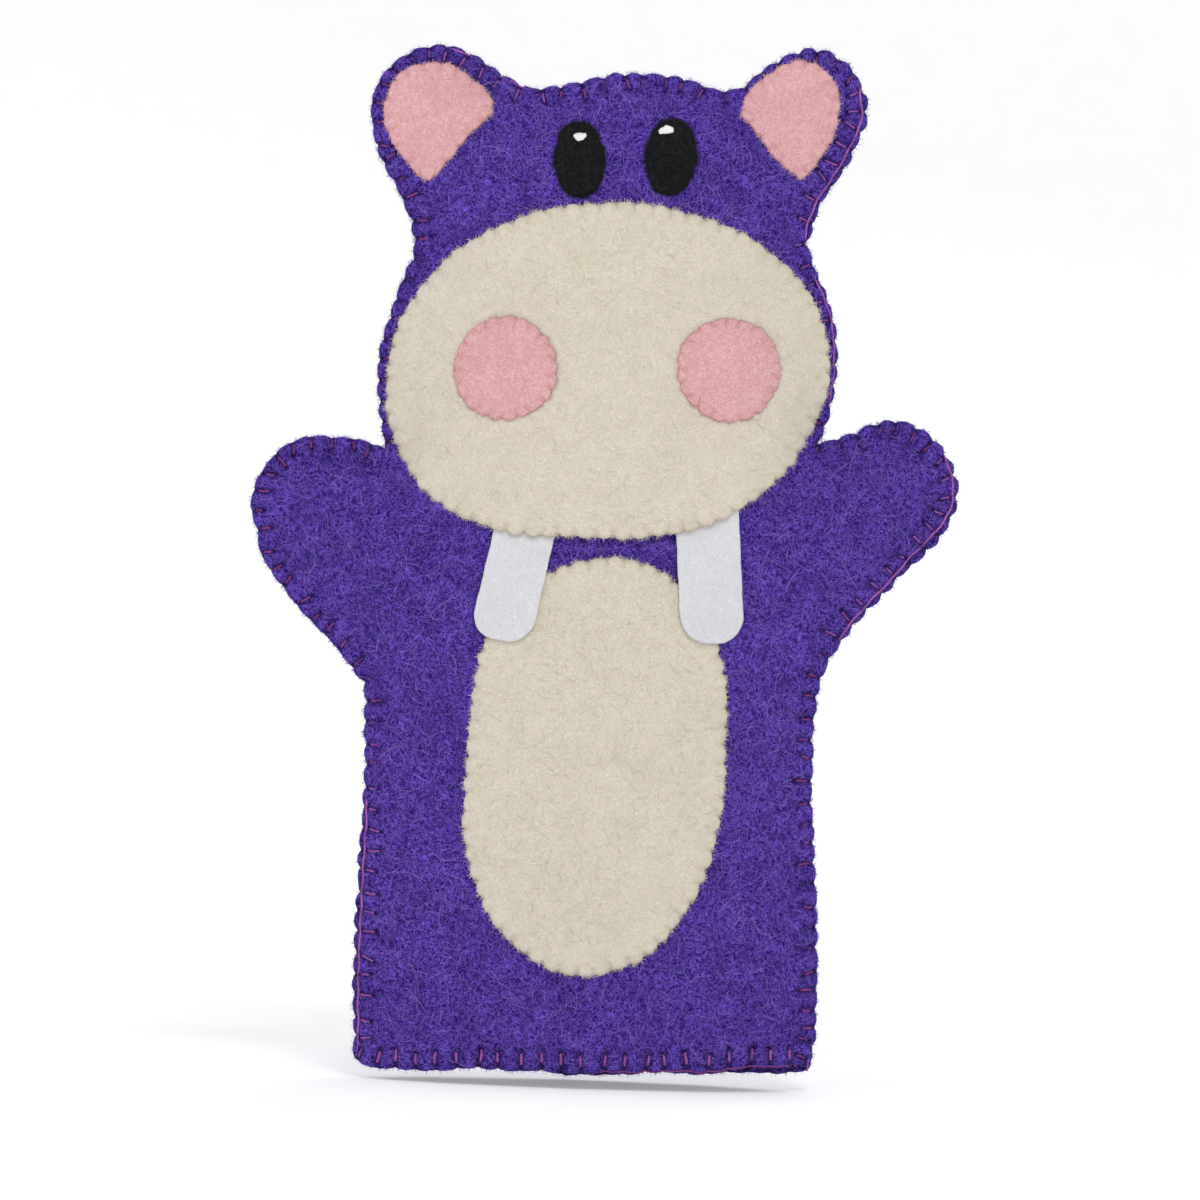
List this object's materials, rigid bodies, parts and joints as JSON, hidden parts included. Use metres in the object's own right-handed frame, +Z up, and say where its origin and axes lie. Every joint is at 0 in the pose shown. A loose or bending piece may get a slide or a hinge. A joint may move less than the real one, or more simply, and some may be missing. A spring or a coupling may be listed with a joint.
{
  "type": "hand puppet",
  "caption": "Felt hippo hand puppet: a flat glove with an open hem, two arms, a head with ears, an oval muzzle, an egg-shaped belly patch and loose white teeth.",
  "frame": {"origin": "centre of the hand opening, in the plane of the hem and in the plane where the two panels meet", "axes": "+Z up the puppet from the hem to the head, -Y the way the face looks, +X to the right as seen from the front"},
  "size_m": [0.1774, 0.0427, 0.2567],
  "materials": {
    "purple_felt": "matte wool felt",
    "cream_felt": "matte wool felt",
    "pink_felt": "matte wool felt",
    "black_felt": "matte wool felt",
    "white_felt": "matte smooth felt",
    "plum_thread": "satin sewing thread",
    "ecru_thread": "satin sewing thread",
    "rose_thread": "satin sewing thread"
  },
  "bodies": {
    "torso": {"front_torso_panel": "purple_felt", "back_torso_panel": "purple_felt", "belly_patch": "cream_felt", "belly_stitching": "ecru_thread", "side_seam_thread_left": "plum_thread", "side_seam_thread_right": "plum_thread", "front_hem_stitching": "plum_thread", "back_hem_stitching": "plum_thread"},
    "head": {"front_head_panel": "purple_felt", "back_head_panel": "purple_felt", "muzzle_patch": "cream_felt", "muzzle_stitching": "ecru_thread", "nostril_left": "pink_felt", "nostril_right": "pink_felt", "nostril_stitching_left": "rose_thread", "nostril_stitching_right": "rose_thread", "eye_left": "black_felt", "eye_right": "black_felt", "eye_glint_left": "white_felt", "eye_glint_right": "white_felt", "cheek_seam_thread_left": "plum_thread", "cheek_seam_thread_right": "plum_thread", "crown_seam_thread": "plum_thread"},
    "arm_left": {"front_arm_left_panel": "purple_felt", "back_arm_left_panel": "purple_felt", "arm_seam_thread_left": "plum_thread"},
    "arm_right": {"front_arm_right_panel": "purple_felt", "back_arm_right_panel": "purple_felt", "arm_seam_thread_right": "plum_thread"},
    "ear_left": {"front_ear_left_panel": "purple_felt", "back_ear_left_panel": "purple_felt", "ear_patch_left": "pink_felt", "ear_patch_stitching_left": "rose_thread", "ear_seam_thread_left": "plum_thread"},
    "ear_right": {"front_ear_right_panel": "purple_felt", "back_ear_right_panel": "purple_felt", "ear_patch_right": "pink_felt", "ear_patch_stitching_right": "rose_thread", "ear_seam_thread_right": "plum_thread"},
    "tooth_left": {"tooth_left": "white_felt"},
    "tooth_right": {"tooth_right": "white_felt"}
  },
  "joints": [
    {"name": "neck_nod", "type": "hinge", "parent": "torso", "child": "head", "pos_m": [0, 0, 0.156], "axis": [1, 0, 0], "range_deg": [-15, 25], "stiffness_Nm_per_rad": 0.06, "deforming": ["muzzle_patch", "muzzle_stitching"]},
    {"name": "shoulder_fold_left", "type": "hinge", "parent": "torso", "child": "arm_left", "pos_m": [-0.056, 0, 0.1236], "axis": [0.0513, 0, 0.9987], "range_deg": [-20, 40], "stiffness_Nm_per_rad": 0.02},
    {"name": "shoulder_fold_right", "type": "hinge", "parent": "torso", "child": "arm_right", "pos_m": [0.05435, 0, 0.1276], "axis": [0.0345, 0, -0.9994], "range_deg": [-20, 40], "stiffness_Nm_per_rad": 0.02},
    {"name": "ear_flop_left", "type": "hinge", "parent": "head", "child": "ear_left", "pos_m": [-0.0353, 0, 0.227], "axis": [0.6437, 0, 0.7653], "range_deg": [-30, 30], "stiffness_Nm_per_rad": 0.008},
    {"name": "ear_flop_right", "type": "hinge", "parent": "head", "child": "ear_right", "pos_m": [0.0354, 0, 0.2274], "axis": [0.5784, 0, -0.8158], "range_deg": [-30, 30], "stiffness_Nm_per_rad": 0.008},
    {"name": "tooth_lift_left", "type": "hinge", "parent": "torso", "child": "tooth_left", "pos_m": [-0.0185, -0.01867, 0.135], "axis": [-0.9816, 0, 0.1908], "range_deg": [0, 60], "stiffness_Nm_per_rad": 0.0003},
    {"name": "tooth_lift_right", "type": "hinge", "parent": "torso", "child": "tooth_right", "pos_m": [0.0264, -0.01771, 0.1356], "axis": [-0.9968, 0, -0.0802], "range_deg": [0, 60], "stiffness_Nm_per_rad": 0.0003}
  ]
}
